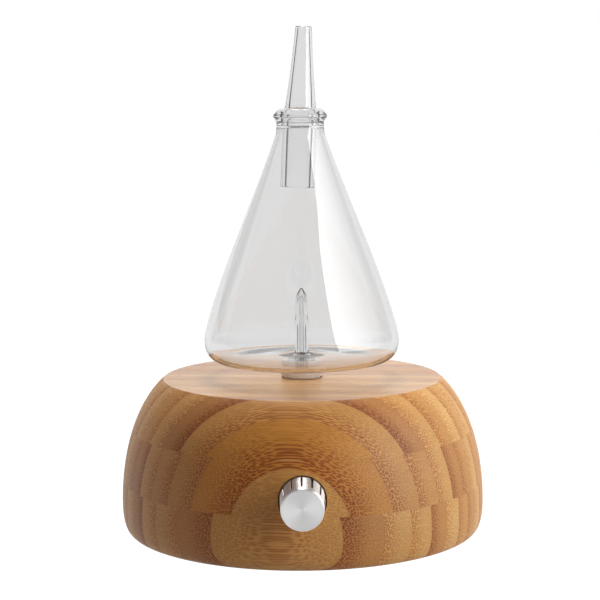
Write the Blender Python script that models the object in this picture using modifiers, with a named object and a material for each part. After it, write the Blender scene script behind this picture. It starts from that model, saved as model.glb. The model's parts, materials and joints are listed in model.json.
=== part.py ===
"""Waterless oil diffuser: a turned bamboo base with an air pump, and a glass flask with a mist tube.

Every piece hangs under one empty on the turning axis, at the bottom plane of the wooden housing.
Outlines are (radius, height) pairs in millimetres, and run down the outer side of the turned shape.
"""

import math

import bmesh
import bpy
from mathutils import Matrix, Vector

MM = 0.001
QUARTER_TURN = math.pi / 2
GAP = 0.3  # clearance between neighbouring pieces, in millimetres

# Driving dimensions, in millimetres.
AXIS_SETBACK = 5.75  # the knob stands out in front, so the turning axis lies behind the origin
FOOT_DROP = 1.0  # how far the rubber feet stand below the wooden housing
BASE_RADIUS = 67.5
BASE_WIDEST = 10.0
BASE_HEIGHT = 55.8
BASE_TOP_RADIUS = 51.8
CAVITY_RADIUS = 46.0
CAVITY_TOP = 44.0
COVER_RECESS_RADIUS = 54.0
COVER_RECESS_DEPTH = 4.0
COVER_BOTTOM = 0.5
GLASS_HOLE_RADIUS = 7.4
SOCKET_HOLE_RADIUS = 11.3
SOCKET_HOLE_TOP = 49.0

KNOB_HEIGHT = 24.5
KNOB_POCKET_RADIUS = 8.3
KNOB_POCKET_FLOOR = 60.5  # distance of the pocket's floor in front of the axis
KNOB_RIM_RADIUS = 7.8
KNOB_FACE_RADIUS = 6.8
KNOB_BACK = 0.8  # heights along the knob are counted from the pocket's floor
KNOB_FACE = 18.5
KNOB_FLUTES = 13
SHAFT_RADIUS = 3.0
BUSHING_RADIUS = 3.5
POT_WALL = 4.5  # wood left between the knob pocket and the recess behind it

JACK_HEIGHT = 16.0
JACK_SEAT = 63.0  # distance of the jack's seat behind the axis

COVER_SCREW_CIRCLE = 50.0
FOOT_CIRCLE = 42.0
FOOT_RADIUS = 5.0

FLASK_RADIUS = 36.25
FLASK_WIDEST = 69.3
FLASK_BOTTOM = 61.7
FLASK_WALL = 1.5
NECK_RADIUS = 8.9
NECK_BORE = 6.6
NECK_HEIGHT = 146.5
LIP_RADIUS = 9.9
LIP_TOP = 155.3
STEM_RADIUS = 5.0
STEM_BORE = 3.4
STEM_END = 44.5
NOZZLE_TIP = 88.9
TUBE_TOP = 185.0
TUBE_END = 126.3
TUBE_RADIUS = 6.3
TUBE_BORE = 4.2
TUBE_SEAT = 152.0
TUBE_LEAN = math.radians(2.6)  # the tube sits slightly askew in its hand-ground seat

BOARD_CENTRE = (0.0, -26.0)
BOARD_SIZE = (44.0, 22.0, 1.6)
BOARD_BOTTOM = 9.0
BOARD_HOLE_INSET = 3.0
COVER_TOP = 3.7

PUMP_ORIGIN = (4.0, 19.0, 24.0)
MOTOR_RADIUS = 12.0
PUMP_WIDTH = 26.0
HOSE_RADIUS = 3.2
HOSE_BORE = 2.0
NIPPLE_RADIUS = 1.7
NIPPLE_BORE = 0.9
WIRE_RADIUS = 0.6

# Facets around turned pieces.
BASE_STEPS = 48
GLASS_STEPS = 32
KNOB_STEPS = 26
MEDIUM_STEPS = 16
SMALL_STEPS = 12
TINY_STEPS = 8


def clear_scene():
    """Remove what a new file starts with."""
    for thing in list(bpy.data.objects):
        bpy.data.objects.remove(thing, do_unlink=True)


def new_collection(name):
    """Make a collection in the scene."""
    collection = bpy.data.collections.new(name)
    bpy.context.scene.collection.children.link(collection)
    return collection


def finish(name, colour, roughness, metallic=0.0, transmission=0.0):
    """Make a plain Principled material."""
    material = bpy.data.materials.new(name)
    material.use_nodes = True
    shader = material.node_tree.nodes["Principled BSDF"]
    shader.inputs["Base Color"].default_value = (*colour, 1.0)
    shader.inputs["Roughness"].default_value = roughness
    shader.inputs["Metallic"].default_value = metallic
    shader.inputs["Transmission Weight"].default_value = transmission
    return material


clear_scene()
PARTS = new_collection("oil_diffuser")
CUTTERS = new_collection("cutters")

BAMBOO = finish("bamboo", (0.55, 0.34, 0.16), 0.45)
BLACK_PLASTIC = finish("black_plastic", (0.03, 0.03, 0.03), 0.5)
WHITE_PLASTIC = finish("white_plastic", (0.8, 0.8, 0.76), 0.4)
RUBBER = finish("rubber", (0.05, 0.05, 0.05), 0.8)
STEEL = finish("steel", (0.6, 0.6, 0.6), 0.3, 1.0)
ALUMINIUM = finish("aluminium", (0.8, 0.8, 0.8), 0.25, 1.0)
BRASS = finish("brass", (0.75, 0.58, 0.3), 0.3, 1.0)
BOARD_GREEN = finish("board_green", (0.04, 0.25, 0.1), 0.4)
FOAM = finish("foam", (0.2, 0.2, 0.21), 0.95)
SILICONE = finish("silicone", (0.85, 0.86, 0.84), 0.4, 0.0, 0.6)
GLASS = finish("glass", (0.95, 0.97, 0.97), 0.03, 0.0, 1.0)
RED = finish("red_insulation", (0.6, 0.05, 0.04), 0.45)

AXIS = bpy.data.objects.new("turning_axis", None)
AXIS.location = (0.0, AXIS_SETBACK * MM, FOOT_DROP * MM)
PARTS.objects.link(AXIS)


def place(thing, location=(0.0, 0.0, 0.0), turn=(0.0, 0.0, 0.0)):
    """Put a piece under the turning axis, at a location in millimetres."""
    thing.location = Vector(location) * MM
    thing.rotation_euler = turn
    thing.parent = AXIS


def add_part(name, mesh, material, location=(0.0, 0.0, 0.0), turn=(0.0, 0.0, 0.0)):
    """Add a visible piece of the diffuser."""
    part = bpy.data.objects.new(name, mesh)
    if not mesh.materials:
        mesh.materials.append(material)
    PARTS.objects.link(part)
    place(part, location, turn)
    return part


def add_cutter(name, mesh, location=(0.0, 0.0, 0.0), turn=(0.0, 0.0, 0.0)):
    """Add a hidden shape that is taken away from a piece, or joined to it."""
    cutter = bpy.data.objects.new(name, mesh)
    cutter.hide_render = True
    cutter.display_type = "WIRE"
    CUTTERS.objects.link(cutter)
    place(cutter, location, turn)
    return cutter


def combine(part, other, operation="DIFFERENCE"):
    """Cut a piece with another shape, or join the two."""
    modifier = part.modifiers.new(other.name, "BOOLEAN")
    modifier.operation = operation
    modifier.solver = "EXACT"
    modifier.object = other


def bezier(start, pull_out, pull_in, end, pieces):
    """Return the points along one cubic curve, both ends included."""
    points = []
    for index in range(pieces + 1):
        t = index / pieces
        weights = ((1 - t) ** 3, 3 * t * (1 - t) ** 2, 3 * t * t * (1 - t), t**3)
        corners = (start, pull_out, pull_in, end)
        radius = sum(w * corner[0] for w, corner in zip(weights, corners))
        height = sum(w * corner[1] for w, corner in zip(weights, corners))
        points.append((radius, height))
    return points


def outline_mesh(name, outline, ring):
    """Draw an outline as edges, closed into a loop where the turned shape is a ring."""
    mesh = bpy.data.meshes.new(name)
    points = [(radius * MM, 0.0, height * MM) for radius, height in outline]
    edges = [(index, index + 1) for index in range(len(points) - 1)]
    if ring:
        edges.append((len(points) - 1, 0))
    mesh.from_pydata(points, edges, [])
    return mesh


def turn_outline(thing, steps):
    """Turn a drawn outline about its own Z axis."""
    screw = thing.modifiers.new("turning", "SCREW")
    screw.axis = "Z"
    screw.angle = 2 * math.pi
    screw.steps = steps
    screw.render_steps = steps
    screw.use_merge_vertices = True
    screw.merge_threshold = 0.00001
    screw.use_smooth_shade = True


def turned_part(name, outline, steps, material, ring=False, location=(0, 0, 0), turn=(0, 0, 0)):
    """Add a turned piece."""
    part = add_part(name, outline_mesh(name, outline, ring), material, location, turn)
    turn_outline(part, steps)
    return part


def turned_cutter(name, outline, steps, location=(0, 0, 0), turn=(0, 0, 0)):
    """Add a turned cutter."""
    cutter = add_cutter(name, outline_mesh(name, outline, False), location, turn)
    turn_outline(cutter, steps)
    return cutter


def box_mesh(name, size, centres=((0.0, 0.0, 0.0),)):
    """Make a mesh of equal boxes round the given centres."""
    mesh = bpy.data.meshes.new(name)
    shape = bmesh.new()
    for centre in centres:
        spot = Matrix.Translation(Vector(centre) * MM)
        bmesh.ops.create_cube(shape, size=1.0, matrix=spot @ Matrix.Diagonal((*(Vector(size) * MM), 1.0)))
    shape.to_mesh(mesh)
    shape.free()
    return mesh


def rod_mesh(name, radius, low, high, centres=((0.0, 0.0),), steps=SMALL_STEPS):
    """Make a mesh of equal upright cylinders on the given centres."""
    mesh = bpy.data.meshes.new(name)
    shape = bmesh.new()
    for x, y in centres:
        spot = Matrix.Translation(Vector((x, y, (low + high) / 2)) * MM)
        bmesh.ops.create_cone(
            shape,
            cap_ends=True,
            segments=steps,
            radius1=radius * MM,
            radius2=radius * MM,
            depth=(high - low) * MM,
            matrix=spot,
        )
    shape.to_mesh(mesh)
    shape.free()
    return mesh


def soften(part, width, segments=1):
    """Round a piece's edges."""
    bevel = part.modifiers.new("edges", "BEVEL")
    bevel.width = width * MM
    bevel.segments = segments
    bevel.limit_method = "ANGLE"


def ring_of_places(count, radius, first_angle):
    """Return places spread evenly round a circle."""
    places = []
    for index in range(count):
        angle = first_angle + index * 2 * math.pi / count
        places.append((radius * math.cos(angle), radius * math.sin(angle)))
    return places


def smooth_route(stops, pieces):
    """Return points on a smooth curve through the stops of a hose or wire."""
    stops = [Vector(stop) for stop in stops]
    padded = [2 * stops[0] - stops[1], *stops, 2 * stops[-1] - stops[-2]]
    points = []
    for index in range(len(stops) - 1):
        before, start, end, after = padded[index : index + 4]
        for piece in range(pieces):
            t = piece / pieces
            bend = 2 * before - 5 * start + 4 * end - after
            twist = 3 * start - before - 3 * end + after
            points.append(start + 0.5 * t * (end - before) + 0.5 * t * t * bend + 0.5 * t**3 * twist)
    points.append(stops[-1])
    return points


def tube_curve(name, points, radius):
    """Draw a round tube with filled ends along the points."""
    curve = bpy.data.curves.new(name, "CURVE")
    curve.dimensions = "3D"
    curve.bevel_depth = radius * MM
    curve.bevel_resolution = 2
    curve.use_fill_caps = True
    spline = curve.splines.new("POLY")
    spline.points.add(len(points) - 1)
    for knot, point in zip(spline.points, points):
        knot.co = (*(point * MM), 1.0)
    return curve


def tube_mesh(name, points, radius):
    """Turn a tube into a closed mesh, so that it can be cut or can cut."""
    drawn = bpy.data.objects.new(name, tube_curve(name, points, radius))
    CUTTERS.objects.link(drawn)
    bpy.context.view_layer.update()
    evaluated = drawn.evaluated_get(bpy.context.evaluated_depsgraph_get())
    mesh = bpy.data.meshes.new_from_object(evaluated)
    bpy.data.objects.remove(drawn, do_unlink=True)
    shape = bmesh.new()
    shape.from_mesh(mesh)
    bmesh.ops.remove_doubles(shape, verts=shape.verts, dist=0.000001)
    bmesh.ops.recalc_face_normals(shape, faces=shape.faces)
    shape.to_mesh(mesh)
    shape.free()
    return mesh


def make_housing():
    """Turned bamboo dome, bored out from below, with ways for the knob and the power jack."""
    dome_top = (BASE_TOP_RADIUS, BASE_HEIGHT)
    widest = (BASE_RADIUS, BASE_WIDEST)
    dome = bezier(dome_top, (63.9, 44.7), (BASE_RADIUS, 25.2), widest, 8)
    skirt = bezier(widest, (BASE_RADIUS, 5.5), (66.9, 1.2), (65.2, 0.0), 3)
    inside = [
        (COVER_RECESS_RADIUS, 0.0),
        (COVER_RECESS_RADIUS, COVER_RECESS_DEPTH),
        (CAVITY_RADIUS, COVER_RECESS_DEPTH),
        (CAVITY_RADIUS, CAVITY_TOP),
        (SOCKET_HOLE_RADIUS, CAVITY_TOP),
        (SOCKET_HOLE_RADIUS, SOCKET_HOLE_TOP),
        (GLASS_HOLE_RADIUS, SOCKET_HOLE_TOP),
    ]
    outline = [(GLASS_HOLE_RADIUS, BASE_HEIGHT), *dome, *skirt[1:], *inside]
    housing = turned_part("bamboo_housing", outline, BASE_STEPS, BAMBOO, ring=True)

    recess = -KNOB_POCKET_FLOOR + CAVITY_RADIUS - 8.0
    knob_way = [
        (0.0, 12.0),
        (KNOB_POCKET_RADIUS, 12.0),
        (KNOB_POCKET_RADIUS, 0.0),
        (BUSHING_RADIUS + GAP, 0.0),
        (BUSHING_RADIUS + GAP, -POT_WALL),
        (11.0, -POT_WALL),
        (11.0, recess),
        (0.0, recess),
    ]
    knob_place = (0.0, -KNOB_POCKET_FLOOR, KNOB_HEIGHT)
    combine(housing, turned_cutter("knob_way", knob_way, 24, knob_place, (QUARTER_TURN, 0, 0)))

    jack_way = [
        (0.0, 8.0),
        (7.0, 8.0),
        (7.0, 0.0),
        (4.3, 0.0),
        (4.3, -8.0),
        (10.0, -8.0),
        (10.0, -22.0),
        (0.0, -22.0),
    ]
    jack_place = (0.0, JACK_SEAT, JACK_HEIGHT)
    combine(housing, turned_cutter("jack_way", jack_way, MEDIUM_STEPS, jack_place, (-QUARTER_TURN, 0, 0)))

    pilots = rod_mesh("screw_pilots", 1.5, 1.0, 13.0, ring_of_places(4, COVER_SCREW_CIRCLE, 0.0), TINY_STEPS)
    combine(housing, add_cutter("screw_pilots", pilots))


def make_bottom_cover():
    """Round plastic cover in the housing's underside, with air slots, screw holes and foot recesses."""
    plate = rod_mesh("bottom_cover", COVER_RECESS_RADIUS - GAP, COVER_BOTTOM, COVER_TOP, steps=BASE_STEPS)
    cover = add_part("bottom_cover", plate, BLACK_PLASTIC)
    screw_places = ring_of_places(4, COVER_SCREW_CIRCLE, 0.0)
    foot_places = ring_of_places(4, FOOT_CIRCLE, math.pi / 4)
    combine(cover, add_cutter("cover_holes", rod_mesh("cover_holes", 1.5, -1.0, 5.0, screw_places, TINY_STEPS)))
    combine(cover, add_cutter("cover_head_seats", rod_mesh("cover_head_seats", 3.1, -1.0, 2.2, screw_places)))
    combine(cover, add_cutter("foot_seats", rod_mesh("foot_seats", FOOT_RADIUS + GAP, -1.0, 1.5, foot_places)))
    slots = [(index * 5.0 + 2.0, 6.0, 2.0) for index in range(7)]
    combine(cover, add_cutter("air_slots", box_mesh("air_slots", (2.5, 24.0, 8.0), slots)))


def make_feet():
    """Four rubber feet that stand a little below the wood."""
    outline = [(0.0, 1.2), (FOOT_RADIUS, 1.2), (FOOT_RADIUS, -0.6), (4.4, -FOOT_DROP), (0.0, -FOOT_DROP)]
    for index, (x, y) in enumerate(ring_of_places(4, FOOT_CIRCLE, math.pi / 4), 1):
        turned_part(f"rubber_foot_{index}", outline, SMALL_STEPS, RUBBER, location=(x, y, 0.0))


def make_cover_screws():
    """Four screws that hold the bottom cover to the housing, driven from below."""
    outline = [(0.0, 12.0), (1.2, 10.6), (1.2, 1.9), (2.7, 1.9), (2.4, 0.9), (0.0, 0.7)]
    for index, (x, y) in enumerate(ring_of_places(4, COVER_SCREW_CIRCLE, 0.0), 1):
        turned_part(f"cover_screw_{index}", outline, TINY_STEPS, STEEL, location=(x, y, 0.0))


def make_knob():
    """Fluted metal knob on the potentiometer's shaft, with its set screw underneath."""
    knob_place = (0.0, -KNOB_POCKET_FLOOR, KNOB_HEIGHT)
    facing = (QUARTER_TURN, 0, 0)
    outline = [
        (0.0, KNOB_FACE),
        (KNOB_FACE_RADIUS - 0.4, KNOB_FACE),
        (KNOB_FACE_RADIUS, KNOB_FACE - 0.4),
        (KNOB_RIM_RADIUS, KNOB_BACK + 3.0),
        (KNOB_RIM_RADIUS, KNOB_BACK + 0.3),
        (KNOB_RIM_RADIUS - 0.3, KNOB_BACK),
        (6.4, KNOB_BACK),
        (6.4, 5.8),
        (SHAFT_RADIUS + 0.2, 5.8),
        (SHAFT_RADIUS + 0.2, 14.5),
        (0.0, 14.5),
    ]
    knob = turned_part("control_knob", outline, KNOB_STEPS, ALUMINIUM, location=knob_place, turn=facing)

    flute_mesh = bpy.data.meshes.new("knob_flutes")
    shape = bmesh.new()
    for x, y in ring_of_places(KNOB_FLUTES, KNOB_RIM_RADIUS, QUARTER_TURN):
        spot = Matrix.Translation(Vector((x, y, 8.8)) * MM) @ Matrix.Rotation(math.atan2(y, x), 4, "Z")
        bmesh.ops.create_cube(shape, size=1.0, matrix=spot @ Matrix.Diagonal((1.2 * MM, 0.6 * MM, 11 * MM, 1.0)))
    shape.to_mesh(flute_mesh)
    shape.free()
    combine(knob, add_cutter("knob_flutes", flute_mesh, knob_place, facing))
    mark = box_mesh("knob_mark", (0.8, 3.4, 0.6), [(0.0, -5.5, KNOB_FACE)])
    combine(knob, add_cutter("knob_mark", mark, knob_place, facing))

    screw_height = KNOB_POCKET_FLOOR + 10.0
    screw_way = rod_mesh("set_screw_way", 1.6, -9.0, -SHAFT_RADIUS, steps=SMALL_STEPS)
    combine(knob, add_cutter("set_screw_way", screw_way, (0.0, -screw_height, KNOB_HEIGHT)))
    screw = [(0.0, -3.3), (1.3, -3.3), (1.3, -6.2), (0.7, -6.2), (0.7, -4.8), (0.0, -4.8)]
    turned_part("knob_set_screw", screw, TINY_STEPS, STEEL, location=(0.0, -screw_height, KNOB_HEIGHT))


def make_potentiometer():
    """Rotary control behind the knob: shaft, bushing with its plate, case and fixing nut."""
    pot_place = (0.0, -KNOB_POCKET_FLOOR, KNOB_HEIGHT)
    facing = (QUARTER_TURN, 0, 0)
    plate = -POT_WALL - GAP
    shaft = [(0.0, 13.9), (2.7, 13.9), (SHAFT_RADIUS, 13.6), (SHAFT_RADIUS, -11.2), (0.0, -11.2)]
    turned_part("pot_shaft", shaft, MEDIUM_STEPS, STEEL, location=pot_place, turn=facing)
    bushing = [
        (SHAFT_RADIUS + 0.1, 3.6),
        (BUSHING_RADIUS, 3.6),
        (BUSHING_RADIUS, plate),
        (8.0, plate),
        (8.0, plate - 1.5),
        (SHAFT_RADIUS + 0.1, plate - 1.5),
    ]
    turned_part("pot_bushing", bushing, MEDIUM_STEPS, STEEL, True, pot_place, facing)
    front = plate - 1.8
    case = [
        (0.0, front - 5.2),
        (6.9, front - 5.2),
        (6.9, front - 1.0),
        (3.4, front - 1.0),
        (3.4, front),
        (8.0, front),
        (8.0, front - 6.4),
        (0.0, front - 6.4),
    ]
    turned_part("pot_case", case, MEDIUM_STEPS, STEEL, location=pot_place, turn=facing)
    nut = add_part("pot_nut", rod_mesh("pot_nut", 5.6, 0.3, 2.6, steps=6), STEEL, pot_place, facing)
    bore = rod_mesh("pot_nut_bore", BUSHING_RADIUS + GAP, -2.0, 5.0)
    combine(nut, add_cutter("pot_nut_bore", bore, pot_place, facing))


def make_power_jack():
    """Round low-voltage socket in the back of the housing."""
    jack_place = (0.0, JACK_SEAT, JACK_HEIGHT)
    facing = (-QUARTER_TURN, 0, 0)
    body = [
        (2.9, 1.8),
        (5.4, 1.8),
        (5.8, 1.4),
        (5.8, GAP),
        (4.0, GAP),
        (4.0, -15.0),
        (1.3, -15.0),
        (1.3, -9.0),
        (2.9, -9.0),
    ]
    turned_part("dc_jack", body, MEDIUM_STEPS, BLACK_PLASTIC, True, jack_place, facing)
    pin = [(0.0, -0.4), (0.7, -0.6), (1.0, -1.0), (1.0, -16.5), (0.0, -16.5)]
    turned_part("dc_jack_pin", pin, TINY_STEPS, BRASS, location=jack_place, turn=facing)
    nut = add_part("dc_jack_nut", rod_mesh("dc_jack_nut", 6.6, -10.6, -8.3, steps=6), BRASS, jack_place, facing)
    bore = rod_mesh("jack_nut_bore", 4.3, -12.0, -6.0)
    combine(nut, add_cutter("jack_nut_bore", bore, jack_place, facing))


def make_control_board():
    """Speed and light controller on four standoffs, with its larger components."""
    centre_x, centre_y = BOARD_CENTRE
    length, width, thickness = BOARD_SIZE
    board_top = BOARD_BOTTOM + thickness
    board_centre = (centre_x, centre_y, BOARD_BOTTOM + thickness / 2)
    board = add_part("control_board", box_mesh("control_board", BOARD_SIZE), BOARD_GREEN, board_centre)
    reach_x = length / 2 - BOARD_HOLE_INSET
    reach_y = width / 2 - BOARD_HOLE_INSET
    corners = [(sx * reach_x, sy * reach_y) for sx in (-1, 1) for sy in (-1, 1)]
    holes = rod_mesh("board_holes", 1.4, -3.0, 3.0, corners, TINY_STEPS)
    combine(board, add_cutter("board_holes", holes, board_centre))

    stand_low = COVER_TOP + GAP
    stand_high = BOARD_BOTTOM - GAP
    standoff = [
        (0.0, 5.0),
        (1.4, 5.0),
        (1.4, stand_high),
        (2.4, stand_high),
        (2.4, stand_low),
        (0.0, stand_low),
    ]
    head = board_top + GAP
    screw = [(0.0, head + 1.3), (1.7, head + 1.3), (2.1, head), (1.1, head), (1.1, 5.5), (0.0, 5.5)]
    for index, (x, y) in enumerate(corners, 1):
        spot = (centre_x + x, centre_y + y, 0.0)
        turned_part(f"board_standoff_{index}", standoff, TINY_STEPS, BRASS, location=spot)
        turned_part(f"board_screw_{index}", screw, TINY_STEPS, STEEL, location=spot)

    part_low = board_top + GAP
    chip_mesh = box_mesh("control_chip", (7.0, 5.0, 1.6))
    add_part("control_chip", chip_mesh, BLACK_PLASTIC, (3.0, -23.0, part_low + 0.8))
    capacitor = [(0.0, 21.5), (3.7, 21.5), (4.0, 21.2), (4.0, 13.4), (3.8, 13.0), (4.0, 12.6), (4.0, part_low)]
    capacitor.append((0.0, part_low))
    turned_part("capacitor", capacitor, SMALL_STEPS, BLACK_PLASTIC, location=(-8.0, -29.0, 0.0))
    socket_mesh = box_mesh("power_connector", (8.0, 5.0, 6.0))
    connector = add_part("power_connector", socket_mesh, WHITE_PLASTIC, (11.0, -32.5, part_low + 3.0))
    mouth = box_mesh("connector_mouth", (6.4, 3.4, 4.0), [(0.0, 0.0, 2.2)])
    combine(connector, add_cutter("connector_mouth", mouth, (11.0, -32.5, part_low + 3.0)))


def pump_turned(name, outline, steps, material, ring=False):
    """Add a piece turned about the motor's axis; its heights are places along X."""
    return turned_part(name, outline, steps, material, ring, PUMP_ORIGIN, (0, QUARTER_TURN, 0))


def make_motor():
    """Small DC motor that drives the air pump."""
    can = [
        (1.6, -3.0),
        (MOTOR_RADIUS - 0.5, -3.0),
        (MOTOR_RADIUS, -3.5),
        (MOTOR_RADIUS, -32.0),
        (MOTOR_RADIUS - 0.8, -32.0),
        (MOTOR_RADIUS - 0.8, -4.0),
        (1.6, -4.0),
    ]
    pump_turned("motor_can", can, 20, STEEL, ring=True)
    cap = [(1.6, -32.3), (MOTOR_RADIUS, -32.3), (MOTOR_RADIUS, -33.8), (11.4, -34.3), (1.6, -34.3)]
    pump_turned("motor_end_cap", cap, 20, BLACK_PLASTIC, ring=True)
    shaft = [(0.0, 7.8), (1.0, 7.8), (1.0, -33.6), (0.0, -33.6)]
    pump_turned("motor_shaft", shaft, SMALL_STEPS, STEEL)
    armature = [(1.3, -8.0), (9.3, -8.0), (9.3, -27.0), (1.3, -27.0)]
    pump_turned("motor_armature", armature, SMALL_STEPS, BRASS, ring=True)


def make_pump():
    """Diaphragm pump on the motor's front: eccentric, swing plate, diaphragm, valves and head."""
    eccentric = pump_turned("pump_eccentric", [(1.3, 5.0), (4.4, 5.0), (4.4, 1.0), (1.3, 1.0)], SMALL_STEPS, BRASS, True)
    turned_x = (0, QUARTER_TURN, 0)
    pin = add_cutter("crank_pin", rod_mesh("crank_pin", 1.1, 4.0, 8.5, [(3.0, 0.0)], TINY_STEPS), PUMP_ORIGIN, turned_x)
    combine(eccentric, pin, "UNION")

    def slab(name, low, high, material):
        """Add one square slice of the pump's stack."""
        mesh = box_mesh(name, (high - low, PUMP_WIDTH, PUMP_WIDTH), [((low + high) / 2, 0.0, 0.0)])
        part = add_part(name, mesh, material, PUMP_ORIGIN)
        soften(part, 1.5)
        return part

    body = slab("pump_body", -2.7, 12.0, BLACK_PLASTIC)
    chamber = [(0.0, 13.0), (10.5, 13.0), (10.5, -0.7), (1.9, -0.7), (1.9, -4.0), (0.0, -4.0)]
    combine(body, turned_cutter("crank_chamber", chamber, MEDIUM_STEPS, PUMP_ORIGIN, turned_x))
    pump_turned("swing_plate", [(0.0, 10.8), (9.0, 10.8), (9.0, 8.8), (0.0, 8.8)], SMALL_STEPS, WHITE_PLASTIC)

    diaphragm = slab("pump_diaphragm", 12.3, 13.8, RUBBER)
    crown = add_cutter("diaphragm_crown", rod_mesh("diaphragm_crown", 6.0, 11.1, 13.0), PUMP_ORIGIN, turned_x)
    combine(diaphragm, crown, "UNION")
    valves = slab("valve_plate", 14.1, 17.1, WHITE_PLASTIC)
    ports = rod_mesh("valve_ports", 1.0, 13.0, 18.0, ring_of_places(3, 5.0, 0.0), TINY_STEPS)
    combine(valves, add_cutter("valve_ports", ports, PUMP_ORIGIN, turned_x))

    head = slab("pump_head", 17.4, 23.4, BLACK_PLASTIC)
    nipple_x = PUMP_ORIGIN[0] + 20.4
    nipple_place = (nipple_x, PUMP_ORIGIN[1] - PUMP_WIDTH / 2, PUMP_ORIGIN[2])
    forward = (QUARTER_TURN, 0, 0)
    nipple = add_cutter("pump_nipple", rod_mesh("pump_nipple", NIPPLE_RADIUS, -1.0, 8.0), nipple_place, forward)
    combine(head, nipple, "UNION")
    outlet_chamber = rod_mesh("outlet_chamber", 8.0, 16.0, 21.4, steps=SMALL_STEPS)
    combine(head, add_cutter("outlet_chamber", outlet_chamber, PUMP_ORIGIN, turned_x))
    outlet = rod_mesh("pump_outlet", NIPPLE_BORE, -7.0, 9.0, steps=TINY_STEPS)
    combine(head, add_cutter("pump_outlet", outlet, nipple_place, forward))


def make_pump_mount():
    """Foam sleeve, cradle and strap that hold the motor quietly on the bottom cover."""
    foam_radius = 15.3
    sleeve = [(MOTOR_RADIUS + GAP, -7.0), (foam_radius, -7.0), (foam_radius, -29.0), (MOTOR_RADIUS + GAP, -29.0)]
    pump_turned("foam_sleeve", sleeve, 20, FOAM, ring=True)

    pump_x, pump_y, pump_z = PUMP_ORIGIN
    reach = 21.0
    screw_reach = 19.3
    seat_top = 22.0
    mount_x = pump_x - 20.0
    cradle_low = COVER_TOP + GAP
    cradle_mesh = box_mesh("pump_cradle", (8.0, 2 * reach, seat_top - cradle_low))
    cradle = add_part("pump_cradle", cradle_mesh, WHITE_PLASTIC, (mount_x, pump_y, (seat_top + cradle_low) / 2))
    saddle = rod_mesh("cradle_saddle", foam_radius + GAP, -35.0, -5.0, steps=20)
    combine(cradle, add_cutter("cradle_saddle", saddle, PUMP_ORIGIN, (0, QUARTER_TURN, 0)))
    screw_places = [(mount_x, pump_y - screw_reach), (mount_x, pump_y + screw_reach)]
    pilots = rod_mesh("cradle_pilots", 1.4, 12.0, 30.0, screw_places, TINY_STEPS)
    pilot_cutter = add_cutter("cradle_pilots", pilots)
    combine(cradle, pilot_cutter)

    hoop = [(foam_radius + GAP, -17.0), (foam_radius + 1.5, -17.0), (foam_radius + 1.5, -23.0), (foam_radius + GAP, -23.0)]
    strap = pump_turned("pump_strap", hoop, 20, STEEL, ring=True)
    tab_low = seat_top + GAP
    tab_high = tab_low + 1.5
    below = box_mesh("below_strap", (20.0, 60.0, 40.0), [(mount_x, pump_y, tab_low - 20.0)])
    combine(strap, add_cutter("below_strap", below))
    tab_inner = foam_radius + 0.9
    tab_centre = (tab_inner + reach) / 2
    tab_middle = (tab_low + tab_high) / 2
    tab_places = [(mount_x, pump_y + side * tab_centre, tab_middle) for side in (-1, 1)]
    tabs = box_mesh("strap_tabs", (6.0, reach - tab_inner, tab_high - tab_low), tab_places)
    combine(strap, add_cutter("strap_tabs", tabs), "UNION")
    combine(strap, pilot_cutter)

    head = tab_high + GAP
    screw = [(0.0, head + 1.3), (1.6, head + 1.3), (2.0, head), (1.1, head), (1.1, 13.0), (0.0, 13.0)]
    for index, (x, y) in enumerate(screw_places, 1):
        turned_part(f"strap_screw_{index}", screw, TINY_STEPS, STEEL, location=(x, y, 0.0))


def make_intake_filter():
    """Foam pad over the air slots of the bottom cover."""
    size = (38.0, 28.0, 2.5)
    centre = (17.0, 6.0, COVER_TOP + GAP + size[2] / 2)
    add_part("intake_filter", box_mesh("intake_filter", size), FOAM, centre)


def make_air_hose():
    """Silicone hose from the pump's outlet to the socket under the glass."""
    outlet_x = PUMP_ORIGIN[0] + 20.4
    outlet_y = PUMP_ORIGIN[1] - PUMP_WIDTH / 2
    pump_z = PUMP_ORIGIN[2]
    stops = [
        (outlet_x, outlet_y - 0.6, pump_z),
        (outlet_x, outlet_y - 8.0, pump_z),
        (outlet_x - 3.0, -9.5, 22.5),
        (14.0, -14.0, 21.0),
        (6.5, -12.0, 20.5),
        (1.2, -5.5, 22.5),
        (0.0, -0.6, 27.0),
        (0.0, 0.0, 32.5),
        (0.0, 0.0, 39.6),
    ]
    points = smooth_route(stops, 2)
    hose = add_part("air_hose", tube_mesh("air_hose", points, HOSE_RADIUS), SILICONE)
    first = points[0] + (points[0] - points[1]).normalized()
    last = points[-1] + (points[-1] - points[-2]).normalized()
    bore = tube_mesh("hose_bore", [first, *points[1:-1], last], HOSE_BORE)
    combine(hose, add_cutter("hose_bore", bore))


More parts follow.
